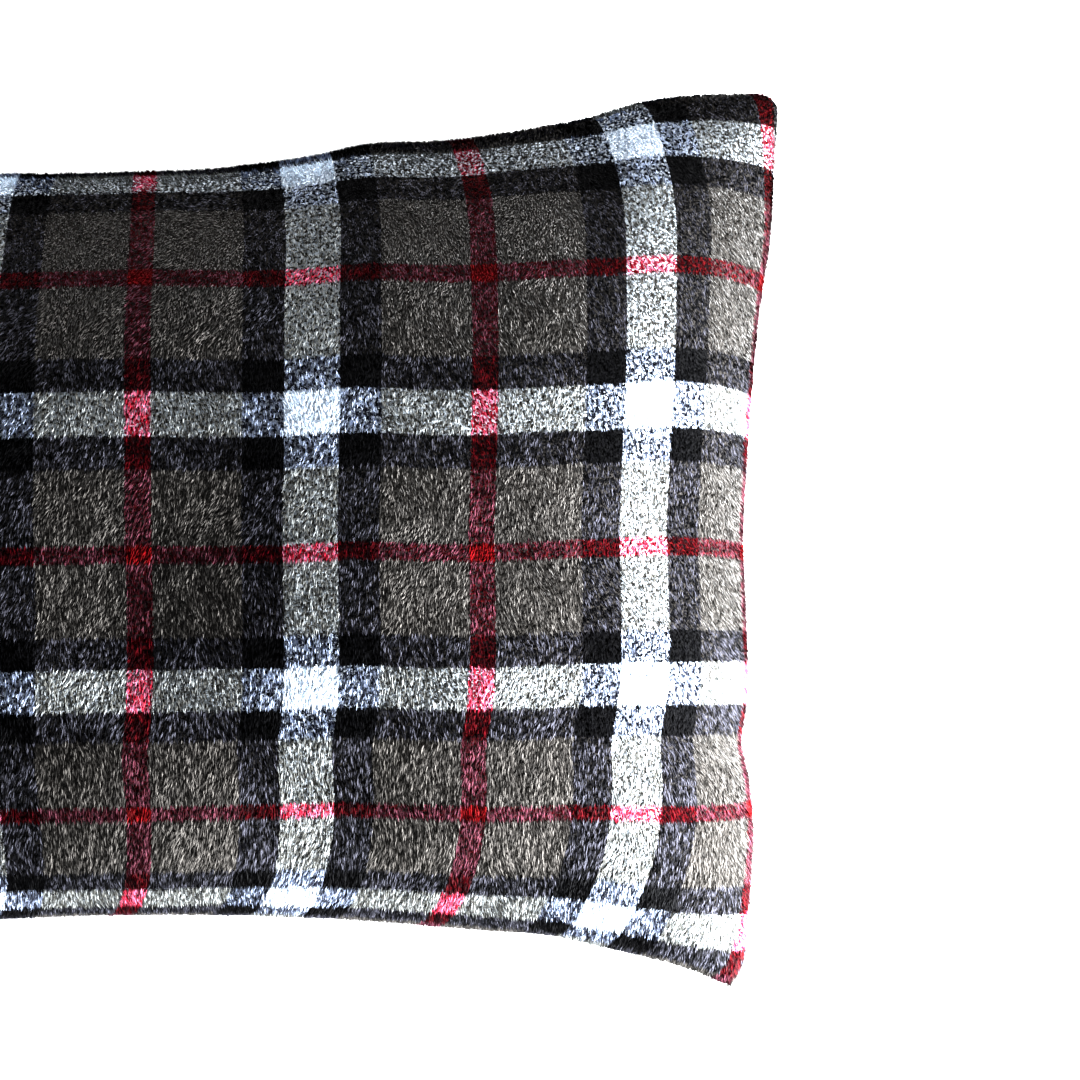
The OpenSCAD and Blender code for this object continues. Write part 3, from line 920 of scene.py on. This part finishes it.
def care_label(edge):
    """A folded satin strip sewn into the near side's seam. It droops, and its corners curl a little."""
    across = np.linspace(-0.5, 0.5, 15)
    leaf = np.linspace(-LABEL_IN, LABEL_OUT, 22)
    fold = np.linspace(-math.pi / 2, math.pi / 2, 7)[1:-1]
    gap = 0.3 * MM
    path = [(s, gap / 2) for s in leaf]
    path += [(LABEL_OUT + gap / 2 * math.cos(a), -gap / 2 * math.sin(a)) for a in fold]
    path += [(s, -gap / 2) for s in leaf[::-1]]
    path = np.array(path)
    s, lift = path[:, 0][None], path[:, 1][None]
    u = across[:, None]
    out = np.clip(s / LABEL_OUT, 0, 1.02)
    open_up = 1 + 2.2 * np.clip(out - 0.1, 0, 1) * (1 - out)
    drop = 3.4 * MM * out**2 + 1.1 * MM * out**2 * np.cos(2 * math.pi * u) + 0.8 * MM * out * u
    x = edge[0] + u * LABEL_W + 0.4 * MM * out
    y = edge[1] - s + 0.35 * drop * out
    z = SEAM_Z + lift * open_up - drop
    points = np.stack(np.broadcast_arrays(x, y, z), -1)
    faces = quads(np.arange(x.size).reshape(x.shape))
    obj = new_object("label", points.reshape(-1, 3), faces, smooth=True)
    m = obj.modifiers.new("thick", "SOLIDIFY")
    m.thickness, m.offset = 0.14 * MM, 0
    obj.data = bpy.data.meshes.new_from_object(obj.evaluated_get(bpy.context.evaluated_depsgraph_get()))
    obj.modifiers.clear()
    return obj


# ---------------------------------------------------------------- studio

CAMERA_AT = (114 * MM, 1.8 * MM, 867 * MM)
CAMERA_TILT = 0.007  # radians from straight down, towards +X
FOCAL_LENGTH = 81.3  # on a 36 mm frame


def make_camera():
    camera = bpy.data.cameras.new("camera")
    camera.sensor_width = 36.0
    camera.lens = FOCAL_LENGTH
    obj = bpy.data.objects.new("camera", camera)
    bpy.context.scene.collection.objects.link(obj)
    obj.location = CAMERA_AT
    obj.rotation_euler = (0, -CAMERA_TILT, 0)
    bpy.context.scene.camera = obj


def area_light(name, at, towards, size, watts, colour):
    light = bpy.data.lights.new(name, "AREA")
    light.shape = "RECTANGLE"
    light.size, light.size_y = size
    light.energy = watts
    light.color = colour
    obj = bpy.data.objects.new(name, light)
    bpy.context.scene.collection.objects.link(obj)
    obj.location = at
    obj.rotation_euler = (Vector(towards) - Vector(at)).to_track_quat("-Z", "Y").to_euler()


def make_studio():
    floor = new_object("floor", [(-3, -3, 0), (3, -3, 0), (3, 3, 0), (-3, 3, 0)], [(0, 1, 2, 3)])
    n = Nodes("floor_paper", 0.9, 0.1)
    n.set("Base Color", (0.93, 0.93, 0.93, 1.0))
    n.set("Emission Color", (1.0, 1.0, 1.0, 1.0))
    n.set("Emission Strength", 0.8)
    floor.data.materials.append(n.material)
    world = bpy.data.worlds.new("world")
    bpy.context.scene.world = world
    world.use_nodes = True
    world.node_tree.nodes["Background"].inputs[0].default_value = (0.97, 0.98, 1.0, 1.0)
    world.node_tree.nodes["Background"].inputs[1].default_value = 0.28
    area_light("window", (0.54, -0.15, 0.2), (0.05, 0, 0.08), (0.3, 0.2), 55, (0.96, 0.98, 1.0))
    area_light("far_wall", (0.25, 0.75, 0.16), (0.15, 0, 0.05), (0.6, 0.25), 16, (0.98, 0.99, 1.0))
    bpy.context.scene.view_settings.view_transform = "Standard"
    bpy.context.scene.view_settings.gamma = 0.8


# ---------------------------------------------------------------- build

def settle(obj, body, slot, material, *nodes):
    """Gives a piece its material and the body that it moves with, and hides the CAD nodes that it stands for.
    """
    if material:
        obj.data.materials.append(material)
    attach(obj, body)
    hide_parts(*nodes)
    return obj


def build_cover(front, back):
    yarns, backing = yarn_materials(), backing_material()
    for half, grid, side in (("front", front, 1), ("back", back, -1)):
        node = f"cover_{half}"
        skin = settle(cover_panel(f"{half}_panel", grid, side), "pillow", "plush", backing, node)
        for part in (1, 2):
            fur = pile(f"{half}_pile_{part}", grid, side, 20 + 3 * side + part, yarns)
            settle(fur, "pillow", "plush", None, node)
    thread = thread_material("cover_thread", srgb(40, 40, 44))
    for name, line in sewn_sides(refined(front, FINE), 3.6 * MM, 8 * MM).items():
        centres, along = evenly(line, STITCH_PITCH)
        if name == "zip_end":
            kept = np.abs(centres[:, 1]) > ZIP_HALF + 19 * MM
            centres, along = centres[kept], along[kept]
        row = stitch_row(f"seam_{name}", centres, along, UP, 1.65 * MM)
        settle(row, "pillow", "cover_thread", thread, f"cover_seam_{name}")


def build_inner_pillow(front, back):
    fabric = woven_material("casing_fabric", srgb(240, 240, 238), 0.7 * MM, 0.08 * MM, "print", 0.12)
    outer = {1: nested(refined(front, FINE), 0.955, 0.93), -1: nested(refined(back, FINE), 0.955, 0.93)}
    for half, side in (("front", 1), ("back", -1)):
        depth, rise = everywhere(1.0 * MM), everywhere(0.3 * MM)
        piece = shell(f"casing_{half}", outer[side], side, 0.8 * MM, depth, rise)
        settle(piece, "pillow", "casing", fabric, f"inner_casing_{half}")
    rows = [evenly(line, STITCH_PITCH) for line in sewn_sides(outer[1], 0.5 * MM, 8 * MM).values()]
    centres, along = (np.concatenate(part) for part in zip(*rows))
    seam = stitch_row("casing_stitches", centres, along, UP, 0.45 * MM)
    thread = thread_material("casing_thread", srgb(235, 235, 232))
    settle(seam, "pillow", "casing_thread", thread, "inner_casing_seam")
    fill = filling(nested(refined(front, FINE), 0.945, 0.905), nested(refined(back, FINE), 0.945, 0.905))
    settle(fill, "pillow", "filling", fibre_material(), "fibre_fill")


def build_zip():
    band = woven_material("zip_band", srgb(58, 57, 60), 0.9 * MM, 0.12 * MM, None, 0.5)
    plastic, metal = coil_material(), metal_material()
    thread = thread_material("zip_thread", srgb(36, 36, 40))
    for half, side in (("upper", 1), ("lower", -1)):
        settle(tape(f"tape_{half}", side), "pillow", "zip_tape", band, f"zip_tape_{half}")
        settle(coil(f"coil_{half}", side), "pillow", "zip_coil", plastic, f"zip_coil_{half}")
        count = int(2 * ZIP_HALF / STITCH_PITCH)
        y = -ZIP_HALF + (np.arange(count) + 0.5) * 2 * ZIP_HALF / count
        low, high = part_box(f"zip_stitches_{half}")
        middle = np.stack([0 * y + (low.x + high.x) / 2, y, 0 * y + SEAM_Z + side * (SLIT_HALF + 3 * MM)], -1)
        reach = (high.x - low.x) / 2 - 0.17 * MM
        along = np.tile([0.0, 1.0, 0.0], (count, 1))
        row = stitch_row(f"sewing_{half}", middle, along, np.array([1.0, 0, 0]), reach)
        settle(row, "pillow", "cover_thread", thread, f"zip_stitches_{half}")
    for name, node, bevel, body in (
        ("top_stops", "zip_top_stops", 0.25 * MM, "pillow"),
        ("bottom_stop", "zip_bottom_stop", 0.3 * MM, "pillow"),
        ("slider_body", "zip_slider", 0.22 * MM, "slider"),
        ("pull_tab", "zip_pull", 0.2 * MM, "pull"),
    ):
        settle(bevelled_copy(name, node, bevel), body, "zip_metal", metal, node)


def build_label(front):
    seam = refined(front, FINE)[:, 0]
    edge = seam[np.abs(seam[:, 0] + 85 * MM).argmin()]
    label = settle(care_label(edge), "pillow", "label", satin_material(), "care_label")


front_grid, back_grid = simulate_cover()
front_grid, back_grid = settled(front_grid, 1), settled(back_grid, -1)
build_cover(front_grid, back_grid)
build_inner_pillow(front_grid, back_grid)
build_zip()
build_label(front_grid)
make_camera()
make_studio()
